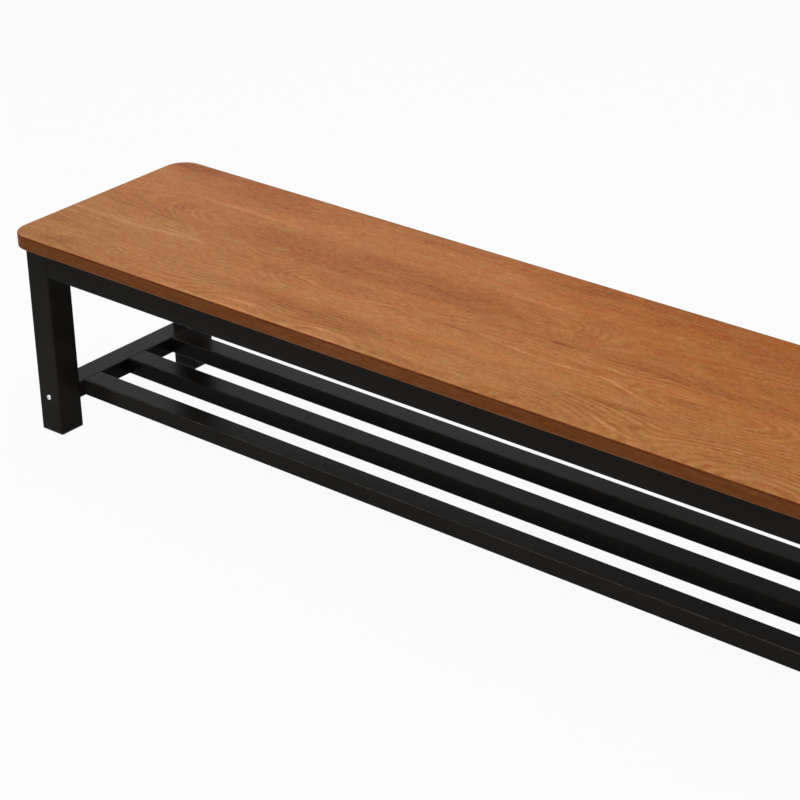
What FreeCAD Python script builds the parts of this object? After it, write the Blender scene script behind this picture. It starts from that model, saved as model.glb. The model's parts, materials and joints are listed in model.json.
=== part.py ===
import FreeCAD, Part
import os
import re

import Sketcher
from FreeCAD import Placement, Rotation, Vector

# A shoe bench: a laminated seat board on a bolted frame of steel tubes, with a slatted shelf
# near the floor.
# Origin on the floor under the middle of the bench, +X along the bench, +Y to its back, +Z up, millimetres.

SIZES = {
    # Seat board
    "seat_length": 1800,
    "seat_depth": 420,
    "seat_height": 372,
    "seat_thickness": 23.6,
    "seat_corner": 40,
    "laminate": 0.8,
    "edge_band": 2,
    "edge_arris": 1.5,
    "glue_line": 0.1,
    "end_overhang": 18,
    "side_overhang": 21,
    # Legs and their foot plugs
    "leg_size": 50,
    "leg_wall": 2,
    "leg_corner": 2.5,
    "foot_thickness": 3,
    "plug_height": 18,
    "plug_wall": 2.5,
    "plug_corner": 1.5,
    "plug_clearance": 0.2,
    # Frame under the seat
    "apron_height": 51.4,
    "apron_depth": 25,
    "brace_width": 40,
    "brace_height": 20,
    "brace_spacing": 560,
    "beam_wall": 1.5,
    "beam_corner": 2,
    # Shelf
    "shelf_height": 83.5,
    "rail_width": 45,
    "rail_height": 30,
    "slat_width": 40,
    "slat_height": 30,
    "slat_margin": 11.6,
    # End plates, bolts and weld nuts
    "plate_thickness": 4,
    "plate_clearance": 0.2,
    "bolt_diameter": 6,
    "bolt_clearance": 0.3,
    "bolt_end": 1,
    "head_diameter": 9.5,
    "head_height": 2.9,
    "head_round": 2.4,
    "socket_size": 3,
    "socket_depth": 2,
    "nut_size": 10,
    "nut_height": 5,
    "thread_clearance": 0.1,
    "shelf_bolt_drop": 2.5,
    "apron_bolt_spacing": 24,
    # Tabs and screws that hold the seat
    "tab_leg": 30,
    "tab_width": 40,
    "tab_thickness": 3,
    "tab_bend": 2,
    "tab_screw": 18,
    "tab_end_distance": 60,
    "screw_diameter": 4.5,
    "screw_depth": 15,
    "screw_tip": 4,
    "screw_end": 1,
    "screw_clearance": 0.3,
    "screw_head_diameter": 9,
    "screw_head_height": 3,
    "screw_head_round": 1.5,
    "recess_length": 5,
    "recess_width": 1,
    "recess_depth": 1.6,
}

# Sizes that follow from the driving ones
DERIVED = {
    "board_length": "seat_length - 2 * (edge_band + glue_line)",
    "board_depth": "seat_depth - 2 * (edge_band + glue_line)",
    "frame_length": "seat_length - 2 * end_overhang",
    "frame_depth": "seat_depth - 2 * side_overhang",
    "frame_top": "seat_height - seat_thickness",
    "leg_length": "frame_top - foot_thickness",
    "leg_x": "(frame_length - leg_size) / 2",
    "leg_y": "(frame_depth - leg_size) / 2",
    "clear_length": "frame_length - 2 * leg_size",
    "clear_depth": "frame_depth - 2 * leg_size",
    "apron_y": "(frame_depth - apron_depth) / 2",
    "apron_z": "frame_top - apron_height / 2",
    "apron_inside": "frame_depth - 2 * apron_depth",
    "end_rail_x": "(frame_length - apron_depth) / 2",
    "rail_x": "(clear_length + rail_width) / 2",
    "rail_z": "shelf_height - rail_height / 2",
    "slat_z": "shelf_height - slat_height / 2",
    "slat_pitch": "(clear_depth - slat_width) / 2 - slat_margin",
    "shelf_bolt_height": "rail_z - shelf_bolt_drop",
    "plate_inset": "2 * (beam_wall + plate_clearance)",
    "bolt_hole": "bolt_diameter + 2 * bolt_clearance",
    "bolt_length": "leg_size + plate_thickness + nut_height + bolt_end",
    "pilot_hole": "screw_diameter + 2 * screw_clearance",
    "pilot_depth": "screw_depth - laminate + screw_end",
    "tab_x": "clear_length / 2 - tab_end_distance",
    "screw_y": "apron_inside / 2 - tab_screw",
    "screw_shank": "tab_thickness + screw_depth - screw_tip",
}

LEFT_RIGHT = {"left": -1, "right": 1}
FRONT_REAR = {"front": -1, "rear": 1}
FIRST_LAST = {"left": -1, "middle": 0, "right": 1}

X_AXIS = Vector(1, 0, 0)
Y_AXIS = Vector(0, 1, 0)
Z_AXIS = Vector(0, 0, 1)
PLANE_ACROSS = {"X": "YZ_Plane", "Y": "XZ_Plane", "Z": "XY_Plane"}
DIRECTION = {"X": X_AXIS, "Y": Y_AXIS, "Z": Z_AXIS}
WIDTH_ALONG = {"X": "y", "Y": "x", "Z": "x"}
HEX_SIDES = 6
NEAR = 1e-4

doc = FreeCAD.newDocument("shoe_bench")
sheet = doc.addObject("Spreadsheet::Sheet", "Sizes")
parts = []


# Sizes, positions and their bindings

def fill_sheet():
    """Writes the driving sizes as numbers and the derived ones as formulas, each under its own name."""
    rows = [*SIZES.items(), *((name, "=" + text) for name, text in DERIVED.items())]
    for row, (name, value) in enumerate(rows, start=1):
        sheet.set(f"A{row}", name)
        sheet.set(f"B{row}", str(value))
        sheet.setAlias(f"B{row}", name)
    doc.recompute()


def formula(text):
    """Turns a formula written in size names into one that reads the table of sizes."""
    return re.sub(
        "[a-z_]+",
        lambda word: f"Sizes.{word[0]}" if word[0] in SIZES or word[0] in DERIVED else word[0],
        text,
    )


def value(text):
    """The present value of a formula written in size names."""
    return float(sheet.evalExpression(formula(text)))


def bind(thing, **properties):
    """Binds properties to formulas. A double underscore stands for the dot in a property's path."""
    for name, text in properties.items():
        thing.setExpression(name.replace("__", "."), formula(text))


def place(thing, x="0", y="0", z="0", axis=Z_AXIS, angle=0):
    """Turns an object about an axis through its own origin, and binds where that origin goes."""
    thing.Placement = Placement(Vector(), Rotation(axis, angle))
    bind(thing, Placement__Base__x=x, Placement__Base__y=y, Placement__Base__z=z)


# Sketches and features

def new_body(name):
    body = doc.addObject("PartDesign::Body", name)
    body.Label = name
    return body


def new_part(name):
    """A body that is one piece of the bench."""
    body = new_body(name)
    parts.append(body)
    return body


def new_sketch(body, axis, name, offset="0"):
    """A sketch on the body's own plane across an axis, raised along that axis by an offset."""
    sketch = body.newObject("Sketcher::SketchObject", name)
    plane = next(item for item in body.Origin.OriginFeatures if item.Role == PLANE_ACROSS[axis])
    sketch.AttachmentSupport = (plane, [""])
    sketch.MapMode = "FlatFace"
    bind(sketch, AttachmentOffset__Base__z=offset)
    return sketch


def constrain(sketch, name, text, kind, *geometry):
    """Adds a named dimension to a sketch and binds it to a formula."""
    index = sketch.addConstraint(Sketcher.Constraint(kind, *geometry, value(text)))
    sketch.renameConstraint(index, name)
    sketch.setExpression(f"Constraints.{name}", formula(text))


def draw_rectangle(sketch, name, width, height):
    """A rectangle centred on the sketch's origin."""
    right = value(width) / 2
    top = value(height) / 2
    corners = [Vector(-right, -top), Vector(right, -top), Vector(right, top), Vector(-right, top)]
    first = sketch.GeometryCount
    for start, end in zip(corners, corners[1:] + corners[:1]):
        sketch.addGeometry(Part.LineSegment(start, end))
    for side, kind in enumerate(("Horizontal", "Vertical", "Horizontal", "Vertical")):
        following = first + (side + 1) % len(corners)
        sketch.addConstraint(Sketcher.Constraint("Coincident", first + side, 2, following, 1))
        sketch.addConstraint(Sketcher.Constraint(kind, first + side))
    sketch.addConstraint(Sketcher.Constraint("Symmetric", first, 1, first + 1, 2, -1, 1))
    constrain(sketch, f"{name}_width", width, "DistanceX", first, 1, first, 2)
    constrain(sketch, f"{name}_height", height, "DistanceY", first + 1, 1, first + 1, 2)


def draw_circle(sketch, name, across, up, diameter):
    """A circle whose centre is measured from the sketch's origin."""
    centre = Vector(value(across), value(up))
    circle = sketch.addGeometry(Part.Circle(centre, Z_AXIS, value(diameter) / 2))
    constrain(sketch, f"{name}_diameter", diameter, "Diameter", circle)
    constrain(sketch, f"{name}_across", across, "DistanceX", -1, 1, circle, 3)
    constrain(sketch, f"{name}_up", up, "DistanceY", -1, 1, circle, 3)


def pad(body, sketch, length, symmetric=True):
    feature = body.newObject("PartDesign::Pad", "pad")
    feature.Profile = sketch
    feature.SideType = "Symmetric" if symmetric else "One side"
    bind(feature, Length=length)
    doc.recompute()


def drill(body, sketch, depth=None):
    """Cuts a sketch right through the body both ways, or to a depth on the plane's positive side."""
    before = body.Shape.Volume
    feature = body.newObject("PartDesign::Pocket", "drill")
    feature.Profile = sketch
    if depth:
        feature.Reversed = True
        bind(feature, Length=depth)
    else:
        feature.SideType = "Symmetric"
        feature.Type = "ThroughAll"
    doc.recompute()
    if not body.Shape.Volume < before:
        raise RuntimeError(f"{body.Label}: a hole cuts nothing")


def round_edges(body, chosen, radius):
    """Rounds those edges of the body that a test picks out."""
    base = body.Tip
    names = [f"Edge{count}" for count, edge in enumerate(base.Shape.Edges, start=1) if chosen(edge)]
    feature = body.newObject("PartDesign::Fillet", "round")
    feature.Base = (base, names)
    bind(feature, Radius=radius)
    doc.recompute()


def runs_along(edge, axis):
    """Whether an edge is straight and parallel to an axis."""
    return isinstance(edge.Curve, Part.Line) and abs(edge.Curve.Direction.dot(axis)) > 1 - NEAR


def lies_at(edge, height):
    """Whether an edge lies level at a height of the body's own frame."""
    box = edge.BoundBox
    return abs(box.ZMin - height) < NEAR and abs(box.ZMax - height) < NEAR


def add_solid(body, kind, name, z="0", x="0", y="0", **sizes):
    """Adds or cuts a box, cylinder, cone or prism at a bound place of the body's frame."""
    solid = body.newObject(f"PartDesign::{kind}", name)
    bind(solid, Placement__Base__x=x, Placement__Base__y=y, Placement__Base__z=z, **sizes)
    return solid


def tube(name, axis, width, height, length, wall="beam_wall", corner="beam_corner", symmetric=True):
    """A rectangular tube along an axis, with rounded corners inside and outside."""
    body = new_part(name)
    section = new_sketch(body, axis, "section")
    draw_rectangle(section, "outside", width, height)
    draw_rectangle(section, "inside", f"{width} - 2 * {wall}", f"{height} - 2 * {wall}")
    pad(body, section, length, symmetric)
    wall_middle = value(f"{width} / 2 - {wall} / 2")

    def is_outer(edge):
        return abs(getattr(edge.CenterOfMass, WIDTH_ALONG[axis])) > wall_middle

    def is_corner(edge):
        return runs_along(edge, DIRECTION[axis])

    inner_corner = f"max({corner} - {wall}; {wall} / 4)"
    round_edges(body, lambda edge: is_corner(edge) and not is_outer(edge), inner_corner)
    round_edges(body, lambda edge: is_corner(edge) and is_outer(edge), corner)
    return body


# Seat board

def board_layer(name, thickness, z):
    """One layer of the board, inside the edge band."""
    body = new_part(name)
    outline = new_sketch(body, "Z", "outline")
    draw_rectangle(outline, "board", "board_length", "board_depth")
    pad(body, outline, thickness, symmetric=False)
    round_edges(body, lambda edge: runs_along(edge, Z_AXIS), "seat_corner - edge_band - glue_line")
    place(body, z=z)
    return body


def screw_holes(body, depth=None):
    """Pilot holes over the tabs, from the layer's lower face."""
    sketch = new_sketch(body, "Z", "pilot_holes")
    for along, step in FIRST_LAST.items():
        for across, side in FRONT_REAR.items():
            draw_circle(sketch, f"{across}_{along}", f"{step} * tab_x", f"{side} * screw_y", "pilot_hole")
    drill(body, sketch, depth)


def make_seat():
    board_layer("seat_top_laminate", "laminate", "seat_height - laminate")
    core = board_layer("seat_core", "seat_thickness - 2 * laminate", "frame_top + laminate")
    screw_holes(core, "pilot_depth")
    backing = board_layer("seat_bottom_laminate", "laminate", "frame_top")
    screw_holes(backing)
    make_edge_band()


def make_edge_band():
    """The band glued round the board, with eased arrises above and below."""
    body = new_part("seat_edge_band")
    outline = new_sketch(body, "Z", "outline")
    draw_rectangle(outline, "outside", "seat_length", "seat_depth")
    draw_rectangle(outline, "inside", "seat_length - 2 * edge_band", "seat_depth - 2 * edge_band")
    pad(body, outline, "seat_thickness", symmetric=False)
    band_middle = value("seat_length / 2 - edge_band / 2")
    corner = value("seat_corner")
    outer_x = value("seat_length") / 2
    outer_y = value("seat_depth") / 2

    def is_corner(edge, outer):
        return runs_along(edge, Z_AXIS) and (abs(edge.CenterOfMass.x) > band_middle) == outer

    def is_arris(edge):
        if not (lies_at(edge, 0) or lies_at(edge, value("seat_thickness"))):
            return False
        if isinstance(edge.Curve, Part.Circle):
            return abs(edge.Curve.Radius - corner) < NEAR
        middle = edge.CenterOfMass
        return abs(abs(middle.x) - outer_x) < NEAR or abs(abs(middle.y) - outer_y) < NEAR

    round_edges(body, lambda edge: is_corner(edge, False), "seat_corner - edge_band")
    round_edges(body, lambda edge: is_corner(edge, True), "seat_corner")
    round_edges(body, is_arris, "edge_arris")
    place(body, z="frame_top")


# Steel frame

def make_leg(name, side, end):
    """A leg with a cross hole for its shelf bolt and two holes along the bench for its apron bolts."""
    body = tube(name, "Z", "leg_size", "leg_size", "leg_length", "leg_wall", "leg_corner", symmetric=False)
    shelf_hole = new_sketch(body, "Y", "shelf_bolt_hole")
    draw_circle(shelf_hole, "shelf", "0", "shelf_bolt_height - foot_thickness", "bolt_hole")
    drill(body, shelf_hole)
    apron_holes = new_sketch(body, "X", "apron_bolt_holes")
    for level, sign in (("lower", "-"), ("upper", "+")):
        up = f"apron_z - foot_thickness {sign} apron_bolt_spacing / 2"
        draw_circle(apron_holes, level, "apron_y - leg_y", up, "bolt_hole")
    drill(body, apron_holes)
    place(body, f"{side} * leg_x", f"{end} * leg_y", "foot_thickness", angle=0 if end > 0 else 180)


def make_foot_plug(name, side, end):
    """A plug whose flange stands on the floor and whose hollow stem fills the leg's open end."""
    body = new_part(name)
    flange = new_sketch(body, "Z", "flange")
    draw_rectangle(flange, "flange", "leg_size", "leg_size")
    pad(body, flange, "foot_thickness", symmetric=False)
    round_edges(body, lambda edge: runs_along(edge, Z_AXIS), "leg_corner")
    stem_size = "leg_size - 2 * leg_wall - 2 * plug_clearance"
    stem = new_sketch(body, "Z", "stem", "foot_thickness")
    draw_rectangle(stem, "outside", stem_size, stem_size)
    draw_rectangle(stem, "inside", f"{stem_size} - 2 * plug_wall", f"{stem_size} - 2 * plug_wall")
    pad(body, stem, "plug_height", symmetric=False)
    stem_middle = value(f"({stem_size} - plug_wall) / 2")
    flange_top = value("foot_thickness")

    def is_stem_corner(edge):
        middle = edge.CenterOfMass
        return runs_along(edge, Z_AXIS) and middle.z > flange_top and abs(middle.x) > stem_middle

    round_edges(body, is_stem_corner, "plug_corner")
    place(body, f"{side} * leg_x", f"{end} * leg_y")


def make_end_plate(name, axis, width, height, bolts):
    """A plate that closes a tube's end, with a clearance hole for each bolt."""
    body = new_part(name)
    outline = new_sketch(body, axis, "outline")
    draw_rectangle(outline, "plate", f"{width} - plate_inset", f"{height} - plate_inset")
    pad(body, outline, "plate_thickness")
    round_edges(body, lambda edge: runs_along(edge, DIRECTION[axis]), "beam_corner")
    holes = new_sketch(body, axis, "bolt_holes")
    for bolt, (across, up) in bolts.items():
        draw_circle(holes, bolt, across, up, "bolt_hole")
    drill(body, holes)
    return body


def make_frame():
    for end_name, end in FRONT_REAR.items():
        for side_name, side in LEFT_RIGHT.items():
            make_leg(f"leg_{end_name}_{side_name}", side, end)
            make_foot_plug(f"foot_plug_{end_name}_{side_name}", side, end)
            plate = make_end_plate(
                f"apron_plate_{end_name}_{side_name}",
                "X",
                "apron_depth",
                "apron_height",
                {"lower": ("0", "-apron_bolt_spacing / 2"), "upper": ("0", "apron_bolt_spacing / 2")},
            )
            place(plate, f"{side} * (clear_length - plate_thickness) / 2", f"{end} * apron_y", "apron_z")
        apron = tube(f"apron_{end_name}", "X", "apron_depth", "apron_height", "clear_length")
        place(apron, y=f"{end} * apron_y", z="apron_z")
    for side_name, side in LEFT_RIGHT.items():
        end_rail = tube(f"end_rail_{side_name}", "Y", "apron_depth", "apron_height", "clear_depth")
        place(end_rail, f"{side} * end_rail_x", z="apron_z")
        brace = tube(f"seat_brace_{side_name}", "Y", "brace_width", "brace_height", "apron_inside")
        place(brace, f"{side} * brace_spacing / 2", z="frame_top - brace_height / 2")


# Shelf

def make_shelf():
    for side_name, side in LEFT_RIGHT.items():
        rail = tube(f"shelf_rail_{side_name}", "Y", "rail_width", "rail_height", "clear_depth")
        place(rail, f"{side} * rail_x", z="rail_z")
        for end_name, end in FRONT_REAR.items():
            plate = make_end_plate(
                f"rail_plate_{end_name}_{side_name}",
                "Y",
                "rail_width",
                "rail_height",
                {"shelf": ("leg_x - rail_x", "shelf_bolt_height - rail_z")},
            )
            y = f"{end} * (clear_depth - plate_thickness) / 2"
            place(plate, f"{side} * rail_x", y, "rail_z", angle=0 if side > 0 else 180)
    for slat_name, step in (("front", -1), ("middle", 0), ("rear", 1)):
        slat = tube(f"shelf_slat_{slat_name}", "X", "slat_width", "slat_height", "clear_length")
        place(slat, y=f"{step} * slat_pitch", z="slat_z")


# Tabs that hold the seat

def make_tab(name, step, end):
    """A bent angle on the apron's inner face, with a hole for a screw up into the seat."""
    body = new_part(name)
    left_end = "-tab_width / 2"
    upright = {"Length": "tab_width", "Width": "tab_thickness", "Height": "tab_leg"}
    add_solid(body, "AdditiveBox", "upright", x=left_end, z="-tab_leg", **upright)
    ledge = {"Length": "tab_width", "Width": "tab_leg", "Height": "tab_thickness"}
    add_solid(body, "AdditiveBox", "ledge", x=left_end, z="-tab_thickness", **ledge)
    hole = {"Radius": "pilot_hole / 2", "Height": "tab_thickness"}
    add_solid(body, "SubtractiveCylinder", "hole", y="tab_screw", z="-tab_thickness", **hole)
    doc.recompute()
    inner_bend = value("tab_thickness")

    def bends(edge, depth):
        middle = edge.CenterOfMass
        return runs_along(edge, X_AXIS) and abs(middle.y - depth) < NEAR and abs(middle.z + depth) < NEAR

    round_edges(body, lambda edge: bends(edge, inner_bend), "tab_bend")
    round_edges(body, lambda edge: bends(edge, 0), "tab_bend + tab_thickness")
    place(body, f"{step} * tab_x", f"{end} * apron_inside / 2", "frame_top", angle=0 if end < 0 else 180)


def make_tabs():
    for end_name, end in FRONT_REAR.items():
        for along, step in FIRST_LAST.items():
            make_tab(f"seat_tab_{end_name}_{along}", step, end)


# Fasteners: each kind is drawn once on its own axis and set in its places as a group

def draw_bolt():
    """A button-head bolt with a hexagon socket, head up, the head's seat at the origin."""
    body = new_body("bolt")
    add_solid(body, "AdditiveCylinder", "head", Radius="head_diameter / 2", Height="head_height")
    shank = {"Radius": "bolt_diameter / 2", "Height": "bolt_length"}
    add_solid(body, "AdditiveCylinder", "shank", z="-bolt_length", **shank)
    doc.recompute()
    head_top = value("head_height")
    round_edges(body, lambda edge: lies_at(edge, head_top), "head_round")
    socket = {"Circumradius": "socket_size / sqrt(3)", "Height": "socket_depth"}
    hexagon = add_solid(body, "SubtractivePrism", "socket", z="head_height - socket_depth", **socket)
    hexagon.Polygon = HEX_SIDES
    return body


def draw_nut():
    """A weld nut whose seat is at the origin and which lies below it."""
    body = new_body("nut")
    block = {"Circumradius": "nut_size / sqrt(3)", "Height": "nut_height"}
    hexagon = add_solid(body, "AdditivePrism", "block", z="-nut_height", **block)
    hexagon.Polygon = HEX_SIDES
    bore = {"Radius": "bolt_diameter / 2 + thread_clearance", "Height": "nut_height"}
    add_solid(body, "SubtractiveCylinder", "bore", z="-nut_height", **bore)
    return body


def draw_screw():
    """A pan-head wood screw that points up, with its head under the origin."""
    body = new_body("screw")
    head = {"Radius": "screw_head_diameter / 2", "Height": "screw_head_height"}
    add_solid(body, "AdditiveCylinder", "head", z="-screw_head_height", **head)
    shank = {"Radius": "screw_diameter / 2", "Height": "screw_shank"}
    add_solid(body, "AdditiveCylinder", "shank", **shank)
    tip = {"Radius1": "screw_diameter / 2", "Radius2": "screw_diameter / 10", "Height": "screw_tip"}
    add_solid(body, "AdditiveCone", "tip", z="screw_shank", **tip)
    doc.recompute()
    head_bottom = -value("screw_head_height")
    round_edges(body, lambda edge: lies_at(edge, head_bottom), "screw_head_round")
    for name, length, width in (
        ("recess_across", "recess_length", "recess_width"),
        ("recess_along", "recess_width", "recess_length"),
    ):
        slot = {"Length": length, "Width": width, "Height": "recess_depth"}
        corner = {"x": f"-{length} / 2", "y": f"-{width} / 2", "z": "-screw_head_height"}
        add_solid(body, "SubtractiveBox", name, **corner, **slot)
    return body


def group(name, piece, spots):
    """Sets a piece in several places, as one named group of separate solids."""
    copies = []
    for count, spot in enumerate(spots, start=1):
        copy = doc.addObject("App::Link", f"{name}_{count}")
        copy.LinkedObject = piece
        place(copy, **spot)
        copies.append(copy)
    compound = doc.addObject("Part::Compound", name)
    compound.Label = name
    compound.Links = copies
    parts.append(compound)


def shelf_spots(y):
    """A place on the axis of each shelf bolt, facing out of the front or the rear of the bench."""
    for end in FRONT_REAR.values():
        for side in LEFT_RIGHT.values():
            yield {
                "x": f"{side} * leg_x",
                "y": f"{end} * ({y})",
                "z": "shelf_bolt_height",
                "axis": X_AXIS,
                "angle": -90 * end,
            }


def apron_spots(x):
    """A place on the axis of each apron bolt, facing out of an end of the bench."""
    for end in FRONT_REAR.values():
        for side in LEFT_RIGHT.values():
            for level in (-1, 1):
                yield {
                    "x": f"{side} * ({x})",
                    "y": f"{end} * apron_y",
                    "z": f"apron_z + {level} * apron_bolt_spacing / 2",
                    "axis": Y_AXIS,
                    "angle": 90 * side,
                }


def screw_spots():
    """The seat of each screw head, under its tab."""
    for end in FRONT_REAR.values():
        for step in FIRST_LAST.values():
            yield {"x": f"{step} * tab_x", "y": f"{end} * screw_y", "z": "frame_top - tab_thickness"}


def make_fasteners():
    bolt = draw_bolt()
    nut = draw_nut()
    group("shelf_bolts", bolt, shelf_spots("frame_depth / 2"))
    group("shelf_nuts", nut, shelf_spots("clear_depth / 2 - plate_thickness"))
    group("apron_bolts", bolt, apron_spots("frame_length / 2"))
    group("apron_nuts", nut, apron_spots("clear_length / 2 - plate_thickness"))
    group("seat_screws", draw_screw(), screw_spots())


# Checks and files

def check():
    """Stops if any feature failed or any piece has no sound solid."""
    doc.recompute()
    for item in doc.Objects:
        if "Invalid" in item.State or "Error" in item.State:
            raise RuntimeError(f"{item.Label}: {item.State}")
    for part in parts:
        if part.Shape.isNull() or not part.Shape.isValid() or not part.Shape.Solids:
            raise RuntimeError(f"{part.Label}: no valid solid")


def write():
    os.makedirs("parts", exist_ok=True)
    for part in parts:
        part.Shape.exportStep(os.path.join("parts", f"{part.Label}.step"))
        box = part.Shape.BoundBox
        size = f"{box.XLength:.1f} x {box.YLength:.1f} x {box.ZLength:.1f}"
        print(f"{part.Label}: {len(part.Shape.Solids)} solid(s), {size}")


fill_sheet()
make_seat()
make_frame()
make_shelf()
make_tabs()
make_fasteners()
check()
write()
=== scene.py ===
import json
import math
from collections import namedtuple

import bpy
from mathutils import Matrix, Vector


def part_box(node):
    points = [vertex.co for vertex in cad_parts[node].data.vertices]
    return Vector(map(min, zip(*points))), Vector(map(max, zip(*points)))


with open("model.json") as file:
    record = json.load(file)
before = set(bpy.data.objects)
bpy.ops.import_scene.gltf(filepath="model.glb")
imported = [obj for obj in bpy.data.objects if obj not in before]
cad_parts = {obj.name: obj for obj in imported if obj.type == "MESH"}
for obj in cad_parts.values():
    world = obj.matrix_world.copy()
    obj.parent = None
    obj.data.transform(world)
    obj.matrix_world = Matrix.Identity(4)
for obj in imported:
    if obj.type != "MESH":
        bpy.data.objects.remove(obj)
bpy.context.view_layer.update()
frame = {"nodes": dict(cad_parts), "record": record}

# The looks of a shoe bench: a laminated seat board on a frame of black steel tubes, with a slatted shelf.
# Metres, in the part's own frame: +X along the bench, +Y to its back, +Z up.

seat_low, seat_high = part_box("seat_edge_band")
SEAT_LENGTH = seat_high.x - seat_low.x

# Camera at the photograph's viewing angle, its sensor in millimetres
IMAGE_WIDTH = 800
FOCAL_LENGTH_IN_PIXELS = 2552.0
SENSOR_WIDTH = 36.0
CAMERA_PLACE = Vector((2.1918, -2.7880, 2.0176))
CAMERA_AZIMUTH = math.radians(40.854)
CAMERA_ELEVATION = math.radians(26.522)
CAMERA_ROLL = math.radians(-1.635)

# Studio, its floor a hair below the feet
FLOOR_SIZE = 60.0
FLOOR_LEVEL = -0.0002
FLOOR_COLOUR = (0.45, 0.45, 0.45, 1)
FLOOR_WHITENESS = 0.95
SKY_LIGHT = 0.04
Softbox = namedtuple("Softbox", "name place size power")
SOFTBOXES = (
    Softbox("softbox_above", Vector((-0.15, 0.08, 3.0)), (4.4, 3.4), 122.0),
    Softbox("softbox_rear_left", Vector((-3.5, 2.3, 1.7)), (3.2, 2.6), 18.0),
    Softbox("softbox_front", Vector((0.4, -2.8, 0.5)), (2.4, 0.8), 10.0),
)
LIT_POINT = Vector((0.0, 0.0, 0.2))
WHITE = (1, 1, 1, 1)

# Wood pattern of the seat: planks side by side, each cut from a log whose heart lies under the surface.
# low is the plank's front edge and heart the heart's place across the seat. depth gives how deep the
# heart lies, and contrast how clear the rings are, at places measured from the seat's left end.
Plank = namedtuple("Plank", "low heart depth contrast")
PLANKS = (
    Plank(0.109, 0.215, (
        (0.00, 0.010), (0.25, 0.034), (0.60, 0.075), (0.95, 0.034), (1.25, 0.010), (1.75, 0.045),
    ), (
        (0.00, 0.08), (0.20, 0.14), (0.35, 0.12), (0.45, 0.06), (0.80, 0.08), (0.92, 0.15),
        (1.05, 0.08), (1.80, 0.14),
    )),
    Plank(-0.005, 0.052, (
        (0.00, 0.074), (0.14, 0.062), (0.21, 0.020), (0.30, 0.010), (0.60, 0.004), (0.90, 0.010),
        (0.99, 0.020), (1.06, 0.062), (1.20, 0.074), (1.45, 0.036), (1.80, 0.052),
    ), (
        (0.00, 0.10), (0.12, 0.14), (0.18, 0.16), (0.25, 0.10), (0.60, 0.08), (0.95, 0.12),
        (1.03, 0.22), (1.10, 0.12), (1.80, 0.12),
    )),
    Plank(-0.127, -0.055, (
        (0.00, 0.020), (0.20, 0.016), (0.34, 0.030), (0.42, 0.056), (0.48, 0.040), (0.54, 0.012),
        (0.60, 0.004), (0.66, 0.012), (0.72, 0.040), (0.78, 0.056), (0.86, 0.030), (1.00, 0.016),
        (1.15, 0.044), (1.22, 0.016), (1.38, 0.010), (1.46, 0.040), (1.62, 0.056), (1.80, 0.020),
    ), (
        (0.00, 0.12), (0.30, 0.10), (0.46, 0.14), (0.55, 0.20), (0.66, 0.18), (0.76, 0.12),
        (1.05, 0.12), (1.18, 0.20), (1.40, 0.20), (1.55, 0.12), (1.80, 0.14),
    )),
    Plank(-0.300, -0.205, (
        (0.00, 0.044), (0.08, 0.010), (0.20, 0.050), (0.38, 0.060), (0.50, 0.012), (0.60, 0.050),
        (0.70, 0.012), (0.82, 0.060), (1.00, 0.050), (1.07, 0.010), (1.25, 0.078), (1.33, 0.074),
        (1.50, 0.006), (1.66, 0.074), (1.80, 0.040),
    ), (
        (0.00, 0.14), (0.25, 0.10), (0.42, 0.18), (0.60, 0.22), (0.78, 0.18), (0.92, 0.10),
        (1.06, 0.20), (1.24, 0.28), (1.32, 0.16), (1.42, 0.30), (1.56, 0.34), (1.80, 0.20),
    )),
)
DEEPEST_HEART = 0.08
RING_SPACING = 0.0075

# The second plank is darker along its front edge: how far in, and how much at places from the left end
SHADED_PLANK = PLANKS[1]
SHADE_DEPTH = 0.045
EDGE_SHADE = (
    (0.00, 0.6), (0.12, 0.6), (0.25, 0.4), (0.35, 0.1), (0.85, 0.2),
    (1.00, 0.6), (1.20, 0.9), (1.44, 0.9), (1.80, 0.6),
)

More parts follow.
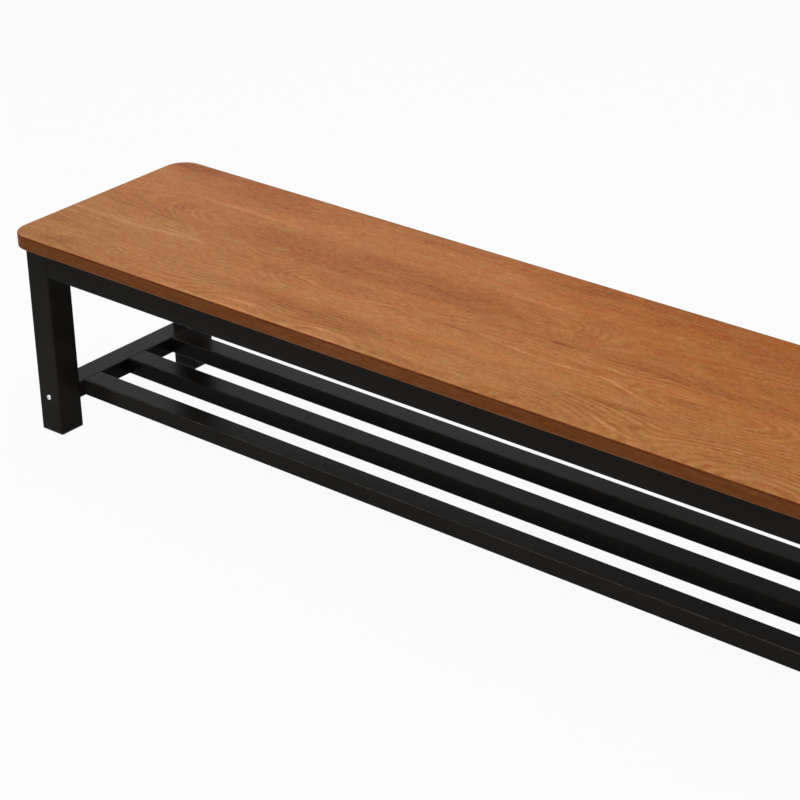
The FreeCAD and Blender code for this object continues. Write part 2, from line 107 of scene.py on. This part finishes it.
# Single streaks in the seat's colour, most of them marks in its wood: place from the left end, place across,
# half length, half width, rise along the seat, and strength, dark above zero and light below it.
# A streak has faded out where its squared distance, counted in half lengths and half widths, is STREAK_END.
Streak = namedtuple("Streak", "along across half_length half_width rise strength")
STREAK_END = 1.8
STREAKS = (
    # The first streak is painted shade along the seat's rear edge, and the next two a painted highlight
    # along its front edge
    Streak(0.750, 0.206, 1.600, 0.030, 0.00, 0.6),
    Streak(0.750, -0.207, 1.600, 0.004, 0.00, -0.5),
    Streak(0.600, -0.207, 0.250, 0.004, 0.00, -0.5),
    Streak(0.040, 0.200, 0.090, 0.012, 0.00, 0.2),
    Streak(0.210, 0.165, 0.200, 0.036, -0.05, 0.6),
    Streak(0.600, 0.132, 0.300, 0.040, 0.00, -0.4),
    Streak(0.910, 0.174, 0.080, 0.018, 0.15, 0.2),
    Streak(1.050, 0.168, 0.240, 0.040, 0.00, 0.5),
    Streak(1.330, 0.150, 0.220, 0.040, 0.00, 0.4),
    Streak(0.165, 0.050, 0.030, 0.016, 0.25, 0.45),
    Streak(0.370, 0.052, 0.050, 0.024, 0.00, 0.3),
    Streak(0.600, 0.042, 0.300, 0.042, 0.00, 0.7),
    Streak(0.740, 0.036, 0.070, 0.014, 0.00, 0.35),
    Streak(0.830, 0.030, 0.080, 0.022, 0.00, 0.4),
    Streak(0.960, 0.060, 0.220, 0.040, 0.00, 0.4),
    Streak(1.020, 0.045, 0.022, 0.020, -0.30, 0.6),
    Streak(1.330, 0.060, 0.180, 0.026, 0.00, 0.5),
    Streak(0.178, -0.003, 0.022, 0.003, 0.00, 1.0),
    Streak(1.008, -0.004, 0.022, 0.003, 0.00, 0.9),
    Streak(0.620, -0.038, 0.060, 0.012, 0.00, 0.4),
    Streak(0.850, -0.052, 0.050, 0.004, -0.03, 0.9),
    Streak(1.290, -0.056, 0.090, 0.010, 0.00, 0.3),
    Streak(0.020, -0.118, 0.070, 0.014, 0.00, 0.6),
    Streak(1.190, -0.122, 0.070, 0.008, 0.00, 1.1),
    Streak(0.095, -0.180, 0.040, 0.014, 0.15, 0.7),
    Streak(0.600, -0.148, 0.190, 0.026, 0.00, 0.5),
    Streak(1.253, -0.162, 0.010, 0.004, 0.00, 1.6),
    Streak(1.390, -0.172, 0.030, 0.008, 0.00, 0.9),
    Streak(0.290, 0.098, 0.110, 0.006, 0.00, -0.9),
    Streak(0.890, 0.097, 0.080, 0.006, 0.00, -0.9),
    Streak(0.050, -0.056, 0.080, 0.005, 0.00, -1.0),
    Streak(0.200, -0.052, 0.100, 0.004, 0.08, -1.4),
    Streak(0.240, -0.040, 0.060, 0.003, -0.05, -1.0),
    Streak(0.540, -0.056, 0.040, 0.003, -0.20, -1.1),
    Streak(0.690, -0.056, 0.040, 0.003, 0.20, -1.1),
    Streak(0.620, -0.095, 0.340, 0.030, 0.00, -0.5),
    Streak(0.960, -0.056, 0.060, 0.004, -0.08, -1.2),
    Streak(1.090, -0.060, 0.090, 0.003, 0.04, -1.4),
    Streak(1.170, -0.069, 0.050, 0.003, -0.25, -1.7),
    Streak(1.200, -0.030, 0.200, 0.012, 0.00, -0.5),
    Streak(0.520, -0.182, 0.045, 0.006, 0.12, -1.0),
    Streak(0.695, -0.184, 0.045, 0.006, -0.12, -1.0),
    Streak(1.215, -0.175, 0.045, 0.004, -0.28, -1.5),
    Streak(0.900, -0.160, 0.150, 0.026, 0.00, -0.5),
)

# Layers of soft noise: features to the metre along X, Y and Z, octaves of detail, and strength
Layer = namedtuple("Layer", "stretch detail strength")
GRAIN_BENDS = (
    Layer((4.0, 12.0, 0.0), 2.0, 0.0040),
    Layer((40.0, 90.0, 0.0), 3.0, 0.0016),
)
FIBRES = (
    Layer((14.0, 170.0, 170.0), 2.0, 0.09),
    Layer((80.0, 230.0, 230.0), 2.0, 0.27),
    Layer((170.0, 320.0, 320.0), 1.0, 0.25),
)
SEAT_CLOUDS = (
    Layer((1.8, 9.0, 5.0), 1.0, 0.19),
    Layer((14.0, 45.0, 0.0), 3.0, 0.12),
    Layer((6.0, 55.0, 0.0), 3.0, 0.12),
)
MARK_WEAR = (
    Layer((14.0, 45.0, 0.0), 3.0, 0.08),
    Layer((45.0, 200.0, 7.0), 2.0, 0.10),
)
RING_WEAR = Layer((45.0, 200.0, 7.0), 2.0, 0.50)
OLIVE_PATCHES = (
    Layer((30.0, 80.0, 9.0), 4.0, 1.4),
    Layer((1.5, 7.0, 9.0), 2.0, 1.0),
)
BAND_GRAIN = (
    Layer((3.0, 3.0, 70.0), 2.0, 0.26),
    Layer((25.0, 25.0, 160.0), 2.0, 0.26),
    Layer((80.0, 80.0, 260.0), 3.0, 0.22),
    Layer((30.0, 30.0, 900.0), 2.0, 0.16),
)
BACKING_CLOUDS = Layer((1.5, 20.0, 0.0), 3.0, 0.20)
MARK_STRENGTH = 0.40
PORE_DARKNESS = 0.35
BACKING_SHADE = 0.25
GRAIN_DEPTH = 0.0004

# The seat's wood turns olive to the left and the front, and where it has dark marks
OLIVE_ALONG = -0.6
OLIVE_ACROSS = -1.5
OLIVE_MARKS = 0.5

# Drifts of the wood's hue and saturation: features of their noise to the metre, trend from front to rear,
# level in the seat's middle, and size. The wood is yellower and paler to the front.
Drift = namedtuple("Drift", "stretch trend middle size")
HUE_DRIFT = Drift((30.0, 75.0, 3.0), -1.6, 0.10, 0.008)
SATURATION_DRIFT = Drift((10.0, 24.0, 11.0), 3.6, -0.44, 0.016)
DRIFT_DETAIL = 4.0
DRIFT_ROUGHNESS = 0.65

# Arrises of the edge band, with painted shade under its top and a painted sheen on its foot: how far from
# the band's top or foot the tone starts, how far it is full, and how strong it is
Arris = namedtuple("Arris", "start full strength")
DARK_ARRIS = Arris(0.0035, 0.0020, 0.75)
FOOT_SHEEN_ARRIS = Arris(0.0030, 0.0010, 0.60)

# Colours of the wood from its light marks over its ground to its dark marks: where the seat is reddish,
# where it is olive, and on the edge band and the backing. The painted sheen on the band's foot has a colour
# of its own.
REDDISH_WOOD = ((0.518, 0.206, 0.067, 1), (0.363, 0.115, 0.023, 1), (0.206, 0.039, 0.004, 1))
OLIVE_WOOD = ((0.493, 0.221, 0.084, 1), (0.343, 0.126, 0.028, 1), (0.194, 0.046, 0.005, 1))
BAND_WOOD = ((0.429, 0.176, 0.072, 1), (0.291, 0.092, 0.026, 1), (0.161, 0.036, 0.007, 1))
FOOT_SHEEN_COLOUR = (0.360, 0.190, 0.105, 1)

# Colours of the other finishes, each from its darkest to its lightest, the paint's painted highlight on its
# upper arrises, and the tint of its gloss
CHIPBOARD = ((0.22, 0.13, 0.06, 1), (0.45, 0.31, 0.18, 1), (0.62, 0.47, 0.30, 1))
BLACK_PAINT = ((0.0225, 0.0210, 0.0191, 1), (0.0300, 0.0281, 0.0259, 1))
ARRIS_HIGHLIGHT_PAINT = (0.130, 0.119, 0.107, 1)
WARM_GLOSS = (1.0, 0.96, 0.91, 1)
ZINC = ((0.62, 0.63, 0.64, 1), (0.80, 0.80, 0.79, 1))
BLACK_PLASTIC = ((0.009, 0.009, 0.009, 1), (0.016, 0.016, 0.016, 1))


class Graph:
    """Adds nodes to one node tree. Every input may be a number, a colour or another node's output."""

    def __init__(self, owner):
        """Starts the graph of a material or a world, with no nodes in it."""
        owner.use_nodes = True
        self.tree = owner.node_tree
        self.tree.nodes.clear()

    def put(self, socket, value):
        if isinstance(value, bpy.types.NodeSocket):
            self.tree.links.new(value, socket)
        else:
            socket.default_value = value

    def node(self, kind, inputs, **settings):
        node = self.tree.nodes.new(f"ShaderNode{kind}")
        for name, value in settings.items():
            setattr(node, name, value)
        for name, value in inputs.items():
            self.put(node.inputs[name], value)
        return node

    def split(self, vector):
        """The X, Y and Z of a vector."""
        return self.node("SeparateXYZ", {"Vector": vector}).outputs

    def math(self, operation, *values):
        return self.node("Math", dict(enumerate(values)), operation=operation).outputs[0]

    def add(self, first, *others):
        for other in others:
            first = self.math("ADD", first, other)
        return first

    def scaled(self, value, factor):
        return self.math("MULTIPLY", value, factor)

    def varied(self, middle, swing, value):
        """A middle number that swings with a value around zero."""
        return self.math("MULTIPLY_ADD", value, swing, middle)

    def range(self, value, low, high, new_low, new_high):
        """Maps a stretch of values to another one smoothly, and holds them at its ends."""
        ends = {"From Min": low, "From Max": high, "To Min": new_low, "To Max": new_high}
        return self.node("MapRange", {"Value": value, **ends}, interpolation_type="SMOOTHSTEP").outputs[0]

    def noise(self, place, stretch, detail, roughness=0.5):
        """Soft noise around zero, from about -1 to 1."""
        size = self.node("VectorMath", {0: place, 1: stretch}, operation="MULTIPLY").outputs[0]
        inputs = {"Vector": size, "Scale": 1.0, "Detail": detail, "Roughness": roughness}
        return self.varied(-2.0, 4.0, self.node("TexNoise", inputs).outputs[0])

    def even_noise(self, place, features, detail):
        """Soft noise around zero, with the same number of features to the metre along every axis."""
        return self.noise(place, (features,) * 3, detail)

    def layered(self, place, *layers):
        """The sum of some layers of noise."""
        noises = [self.noise(place, layer.stretch, layer.detail) for layer in layers]
        return self.add(*(self.scaled(noise, layer.strength) for noise, layer in zip(noises, layers)))

    def ramp(self, value, stops, smooth=False):
        """A colour ramp through stops, each a place and a colour."""
        node = self.node("ValToRGB", {"Fac": value})
        node.color_ramp.interpolation = "B_SPLINE" if smooth else "LINEAR"
        elements = node.color_ramp.elements
        while len(elements) < len(stops):
            elements.new(1.0)
        for element, (where, colour) in zip(elements, stops):
            element.position = where
            element.color = colour
        return node.outputs[0]

    def tone(self, value, colours):
        """A colour from a row of colours, the first for -1 and the last for 1."""
        stops = [(number / (len(colours) - 1), colour) for number, colour in enumerate(colours)]
        return self.ramp(self.varied(0.5, 0.5, value), stops)

    def mix(self, factor, first, second):
        return self.node("Mix", {0: factor, 6: first, 7: second}, data_type="RGBA").outputs[2]

    def bump(self, height, strength, distance):
        return self.node("Bump", {"Height": height, "Strength": strength, "Distance": distance}).outputs[0]

    def surface(self, shader, output="OutputMaterial"):
        self.put(self.tree.nodes.new(f"ShaderNode{output}").inputs["Surface"], shader)

    def shine(self, **sockets):
        """Ends a material in one Principled shader."""
        inputs = {name.replace("_", " "): value for name, value in sockets.items()}
        self.surface(self.node("BsdfPrincipled", inputs).outputs[0])


def new_material(name):
    """A new material, its graph, and the object's own coordinates in that graph."""
    material = bpy.data.materials.new(name)
    graph = Graph(material)
    return material, graph, graph.node("TexCoord", {}).outputs["Object"]


# Wood

def along_ramp(graph, along, stops, largest=1.0):
    """A value given at places along the seat, from 0 up to its largest."""
    greys = [(where / SEAT_LENGTH, (value / largest,) * 3 + (1,)) for where, value in stops]
    return graph.scaled(graph.ramp(graph.scaled(along, 1 / SEAT_LENGTH), greys, smooth=True), largest)


def squares(graph, first, second):
    """The sum of two values' squares."""
    return graph.add(graph.math("POWER", first, 2.0), graph.math("POWER", second, 2.0))


def growth_rings(graph, plank, along, across):
    """A plank's growth rings as darkness, light early wood below zero and dark late wood above it."""
    depth = along_ramp(graph, along, plank.depth, DEEPEST_HEART)
    radius = graph.math("SQRT", squares(graph, graph.add(across, -plank.heart), depth))
    rings = graph.math("SINE", graph.scaled(radius, math.tau / RING_SPACING))
    return graph.math("MULTIPLY", rings, along_ramp(graph, along, plank.contrast))


def plank_rings(graph, along, across):
    """The growth rings of all planks side by side."""
    rings = growth_rings(graph, PLANKS[-1], along, across)
    for plank in reversed(PLANKS[:-1]):
        inside = graph.math("GREATER_THAN", across, plank.low)
        rings = graph.mix(inside, rings, growth_rings(graph, plank, along, across))
    return rings


def plank_edge(graph, along, across):
    """Darker wood along a plank's front edge, fading into the plank."""
    low = SHADED_PLANK.low
    fading = graph.range(across, low, low + SHADE_DEPTH, 1.0, 0.0)
    inside = graph.math("GREATER_THAN", across, low)
    shade = along_ramp(graph, along, EDGE_SHADE)
    return graph.math("MULTIPLY", graph.math("MULTIPLY", inside, fading), shade)


def streak_mark(graph, streak, along, across):
    """One soft streak: full strength on its middle, none beyond its ends."""
    forward = graph.scaled(graph.add(along, -streak.along), 1 / streak.half_length)
    middle = graph.varied(streak.across, streak.rise * streak.half_length, forward)
    sideways = graph.scaled(graph.math("SUBTRACT", across, middle), 1 / streak.half_width)
    return graph.range(squares(graph, forward, sideways), 0.0, STREAK_END, streak.strength, 0.0)


def single_marks(graph, along, across):
    """All streaks, with the painted shade and highlight along the seat's edges, and the dark plank edge, as
    darkness around zero.
    """
    streaks = [streak_mark(graph, streak, along, across) for streak in STREAKS]
    return graph.add(*streaks, plank_edge(graph, along, across))


def wood_fibres(graph, place):
    """Short fibres along X, as darkness around zero, and the fine pores among them, from 0 to 1."""
    # Pores are the peaks of a very fine noise
    pores = graph.range(graph.noise(place, (70.0, 1700.0, 1700.0), 1.0), 0.35, 0.9, 0.0, 1.0)
    return graph.varied(graph.layered(place, *FIBRES), PORE_DARKNESS, pores), pores


def seat_darkness(graph, place, along, across, marks, fibres):
    """How dark the seat is: rings and marks, the painted edge shade and highlight among them, unevenly worn,
    with clouds and fibres.
    """
    # Rings show strongly in some patches and faintly in others
    shown = graph.range(graph.noise(place, (5.0, 18.0, 0.0), 2.0), -0.6, 0.9, 0.4, 1.5)
    ring_strength = graph.math("MULTIPLY", shown, graph.add(graph.layered(place, RING_WEAR), 1.0))
    mark_strength = graph.add(graph.layered(place, *MARK_WEAR), MARK_STRENGTH)
    return graph.add(
        graph.math("MULTIPLY", plank_rings(graph, along, across), ring_strength),
        graph.math("MULTIPLY", marks, mark_strength),
        graph.layered(place, *SEAT_CLOUDS),
        fibres,
    )


def drifting(graph, drift, place, y, usual):
    """A number that drifts around its usual level, with soft noise and from the seat's front to its rear."""
    noise = graph.noise(place, drift.stretch, DRIFT_DETAIL, DRIFT_ROUGHNESS)
    return graph.varied(usual, drift.size, graph.add(noise, graph.scaled(y, drift.trend), drift.middle))


def seat_colour(graph, place, darkness, marks):
    """The colour of the seat's wood for its darkness, reddish here and olive there."""
    x, y, _ = graph.split(place)
    hue = graph.add(
        graph.layered(place, *OLIVE_PATCHES),
        graph.scaled(x, OLIVE_ALONG),
        graph.scaled(y, OLIVE_ACROSS),
        graph.scaled(marks, OLIVE_MARKS),
    )
    olive = graph.range(hue, -1.0, 1.0, 0.0, 1.0)
    return graph.node("HueSaturation", {
        "Color": graph.mix(olive, graph.tone(darkness, REDDISH_WOOD), graph.tone(darkness, OLIVE_WOOD)),
        "Hue": drifting(graph, HUE_DRIFT, place, y, 0.5),
        "Saturation": drifting(graph, SATURATION_DRIFT, place, y, 1.0),
    }).outputs[0]


def seat_wood():
    """Satin laminate printed with planks of wood."""
    material, graph, place = new_material("wood_laminate")
    x, y, _ = graph.split(place)
    along = graph.add(x, -seat_low.x)
    across = graph.add(y, graph.layered(place, *GRAIN_BENDS))
    marks = single_marks(graph, along, across)
    fibres, pores = wood_fibres(graph, place)
    darkness = seat_darkness(graph, place, along, across, marks, fibres)
    graph.shine(
        Base_Color=seat_colour(graph, place, darkness, marks),
        Roughness=graph.varied(0.38, 0.05, darkness),
        Specular_IOR_Level=0.03,
        Normal=graph.bump(graph.math("SUBTRACT", fibres, pores), 0.06, GRAIN_DEPTH),
    )
    return material


def edge_wood():
    """Satin edge band with the same wood, its grain along the band, with painted shade under its top and a
    painted sheen on its foot.
    """
    material, graph, place = new_material("edge_band")
    z = graph.split(place)["Z"]
    top, foot = seat_high.z, seat_low.z
    # Painted shade under the band's top arris, and a painted sheen on its foot
    shade = graph.range(z, top - DARK_ARRIS.start, top - DARK_ARRIS.full, 0.0, DARK_ARRIS.strength)
    foot_sheen = graph.range(z, foot + FOOT_SHEEN_ARRIS.full, foot + FOOT_SHEEN_ARRIS.start, FOOT_SHEEN_ARRIS.strength, 0.0)
    darkness = graph.add(graph.layered(place, *BAND_GRAIN), shade)
    graph.shine(
        Base_Color=graph.mix(foot_sheen, graph.tone(darkness, BAND_WOOD), FOOT_SHEEN_COLOUR),
        Roughness=graph.varied(0.38, 0.05, darkness),
        Specular_IOR_Level=0.03,
        Normal=graph.bump(darkness, 0.05, GRAIN_DEPTH),
    )
    return material


def backing_wood():
    """Matt balancing sheet under the board, with a duller and darker print of the same wood."""
    material, graph, place = new_material("backing_laminate")
    fibres, pores = wood_fibres(graph, place)
    darkness = graph.add(graph.layered(place, BACKING_CLOUDS), fibres, BACKING_SHADE)
    graph.shine(
        Base_Color=graph.tone(darkness, BAND_WOOD),
        Roughness=graph.varied(0.6, 0.1, pores),
        Specular_IOR_Level=0.2,
        Normal=graph.bump(fibres, 0.05, GRAIN_DEPTH),
    )
    return material


def chipboard():
    """Raw chipboard, as its drilled holes show it: pressed flakes of pale and brown wood."""
    material, graph, place = new_material("board_core")
    flakes = graph.node("TexVoronoi", {"Vector": place, "Scale": 420.0}).outputs["Color"]
    level = graph.node("SeparateColor", {"Color": flakes}).outputs[0]
    colour = graph.ramp(level, list(zip((0.0, 0.5, 1.0), CHIPBOARD)))
    graph.shine(Base_Color=colour, Roughness=0.9, Normal=graph.bump(level, 0.5, 0.0006))
    return material


# Steel and plastic

def on_upper_arrises(graph):
    """1 on the rounded upper arrises of level tubes, and 0 on their faces and below."""
    upward = graph.split(graph.node("TexCoord", {}).outputs["Normal"])["Z"]
    above_side = graph.range(upward, 0.20, 0.45, 0.0, 1.0)
    below_top = graph.range(upward, 0.90, 0.99, 1.0, 0.0)
    return graph.math("MULTIPLY", above_side, below_top)


def powder_coat():
    """Black powder coat: a low sheen over fine orange peel, with a painted highlight on its upper arrises.
    """
    material, graph, place = new_material("black_steel")
    cloud = graph.even_noise(place, 5.0, 3.0)
    # Painted highlight on the upper arrises, broken up by noise
    highlight_breakup = graph.range(graph.even_noise(place, 30.0, 3.0), -1.0, 1.0, 0.3, 1.0)
    arris_highlight = graph.math("MULTIPLY", on_upper_arrises(graph), highlight_breakup)
    graph.shine(
        Base_Color=graph.mix(arris_highlight, graph.tone(cloud, BLACK_PAINT), ARRIS_HIGHLIGHT_PAINT),
        Roughness=graph.varied(0.24, 0.03, cloud),
        Specular_IOR_Level=0.025,
        Specular_Tint=WARM_GLOSS,
        Normal=graph.bump(graph.even_noise(place, 620.0, 2.0), 0.05, 0.0003),
    )
    return material


def zinc_plate():
    """Bright zinc plating with a faint cloudy bloom."""
    material, graph, place = new_material("zinc")
    bloom = graph.even_noise(place, 260.0, 3.0)
    graph.shine(
        Base_Color=graph.tone(bloom, ZINC),
        Metallic=1.0,
        Roughness=graph.varied(0.30, 0.05, bloom),
    )
    return material


def black_plastic():
    """Moulded black plastic with a fine spark-eroded texture."""
    material, graph, place = new_material("black_plastic")
    texture = graph.even_noise(place, 1500.0, 2.0)
    graph.shine(
        Base_Color=graph.tone(texture, BLACK_PLASTIC),
        Roughness=graph.varied(0.55, 0.04, texture),
        Specular_IOR_Level=0.2,
        Normal=graph.bump(texture, 0.2, 0.0002),
    )
    return material


def finish_nodes():
    """Gives every CAD node the finish of its material slot."""
    finishes = {
        "wood_laminate": seat_wood(),
        "edge_band": edge_wood(),
        "backing_laminate": backing_wood(),
        "board_core": chipboard(),
        "black_steel": powder_coat(),
        "zinc": zinc_plate(),
        "black_plastic": black_plastic(),
    }
    for subpart in frame["record"]["subparts"]:
        for slot in frame["nodes"][subpart["node"]].material_slots:
            slot.material = finishes[subpart["material_slot"]]


# Studio

def seen_directly(graph):
    """1 for what the camera sees, also in gloss and through glass, and 0 for light on the object."""
    path = graph.node("LightPath", {}).outputs
    seen = graph.math("MAXIMUM", path["Is Camera Ray"], path["Is Glossy Ray"])
    return graph.math("MAXIMUM", seen, path["Is Transmission Ray"])


def make_floor():
    """A plain pale floor that whitens the picture and keeps the bench's shadow."""
    half = FLOOR_SIZE / 2
    mesh = bpy.data.meshes.new("floor")
    corners = [(x, y, FLOOR_LEVEL) for x, y in ((-half, -half), (half, -half), (half, half), (-half, half))]
    mesh.from_pydata(corners, [], [(0, 1, 2, 3)])
    floor = bpy.data.objects.new("floor", mesh)
    bpy.context.scene.collection.objects.link(floor)
    material = bpy.data.materials.new("floor")
    graph = Graph(material)
    lit = graph.node("BsdfDiffuse", {"Color": FLOOR_COLOUR}).outputs[0]
    white = graph.node("Emission", {"Color": WHITE, "Strength": 1.0}).outputs[0]
    share = graph.scaled(seen_directly(graph), FLOOR_WHITENESS)
    graph.surface(graph.node("MixShader", {0: share, 1: lit, 2: white}).outputs[0])
    mesh.materials.append(material)


def make_softbox(softbox):
    """A wide soft lamp that faces the bench."""
    lamp = bpy.data.lights.new(softbox.name, "AREA")
    lamp.shape = "RECTANGLE"
    lamp.size, lamp.size_y = softbox.size
    lamp.energy = softbox.power
    holder = bpy.data.objects.new(softbox.name, lamp)
    holder.location = softbox.place
    holder.rotation_euler = (softbox.place - LIT_POINT).to_track_quat("Z", "Y").to_euler()
    holder.visible_camera = False
    bpy.context.scene.collection.objects.link(holder)


def make_sky():
    """A sky that is white to the eye and dim as a lamp."""
    world = bpy.data.worlds.new("studio")
    bpy.context.scene.world = world
    graph = Graph(world)
    strength = graph.varied(SKY_LIGHT, 1.0 - SKY_LIGHT, seen_directly(graph))
    sky = graph.node("Background", {"Color": WHITE, "Strength": strength}).outputs[0]
    graph.surface(sky, "OutputWorld")


def make_camera():
    """The camera that took the photograph, as its straight edges tell."""
    data = bpy.data.cameras.new("camera")
    data.sensor_width = SENSOR_WIDTH
    data.lens = FOCAL_LENGTH_IN_PIXELS * SENSOR_WIDTH / IMAGE_WIDTH
    camera = bpy.data.objects.new("camera", data)
    level = math.cos(CAMERA_ELEVATION)
    back = Vector((
        math.sin(CAMERA_AZIMUTH) * level,
        -math.cos(CAMERA_AZIMUTH) * level,
        math.sin(CAMERA_ELEVATION),
    ))
    turned = back.to_track_quat("Z", "Y").to_matrix() @ Matrix.Rotation(CAMERA_ROLL, 3, "Z")
    camera.matrix_world = Matrix.Translation(CAMERA_PLACE) @ turned.to_4x4()
    bpy.context.scene.collection.objects.link(camera)
    bpy.context.scene.camera = camera


finish_nodes()
make_floor()
for softbox in SOFTBOXES:
    make_softbox(softbox)
make_sky()
make_camera()
bpy.context.scene.view_settings.view_transform = "Standard"
